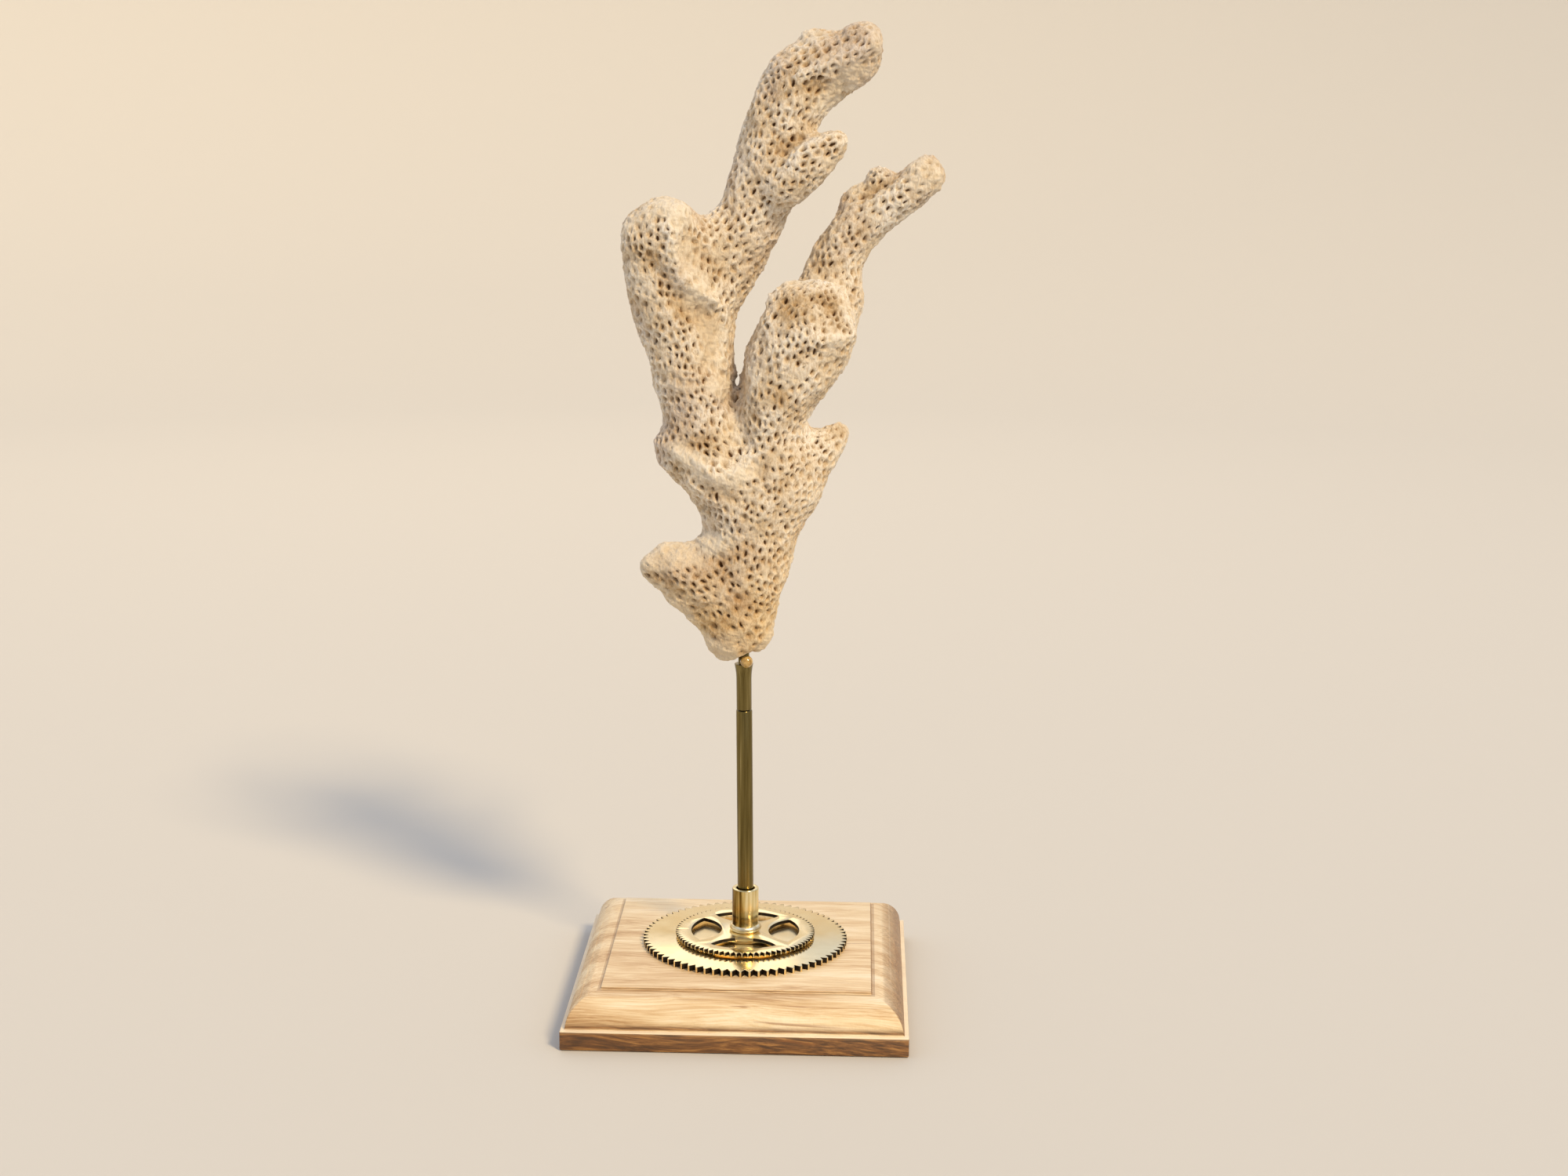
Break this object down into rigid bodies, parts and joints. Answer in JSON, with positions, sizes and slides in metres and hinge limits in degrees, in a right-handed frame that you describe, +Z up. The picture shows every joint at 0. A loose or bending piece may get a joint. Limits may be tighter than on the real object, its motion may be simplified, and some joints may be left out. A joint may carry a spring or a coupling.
{
  "type": "branching coral on a stand",
  "caption": "Worn branching stony coral held upright on a brass rod and collar, over stacked brass clock gears on a moulded square wood plinth.",
  "frame": {"origin": "centre of the plinth's flat underside, on the surface that it stands on", "axes": "+Z up from the plinth to the coral's tips; the pictured front faces -Y; +X to the right seen from the front"},
  "size_m": [0.105, 0.098, 0.2842],
  "materials": {
    "plinth_wood": "light warm brown hardwood under a thin satin clear coat",
    "polished_brass": "polished yellow brass",
    "rod_brass": "drawn brass, polished, slightly darker",
    "dried_glue": "glossy amber dried glue",
    "coral_stone": "dry matt cream coral skeleton with worn whitish tips"
  },
  "bodies": {
    "root": {"wood_plinth": "plinth_wood", "large_gear": "polished_brass", "small_gear": "polished_brass", "foot_ring": "polished_brass", "rod_collar": "polished_brass", "support_rod": "rod_brass", "coral_pin": "rod_brass", "glue_dab": "dried_glue", "coral_trunk": "coral_stone", "coral_left_spur": "coral_stone", "coral_right_spur": "coral_stone", "coral_left_lobe": "coral_stone", "coral_tall_branch": "coral_stone", "coral_finger": "coral_stone", "coral_middle_lobe": "coral_stone", "coral_right_branch": "coral_stone"}
  },
  "joints": []
}
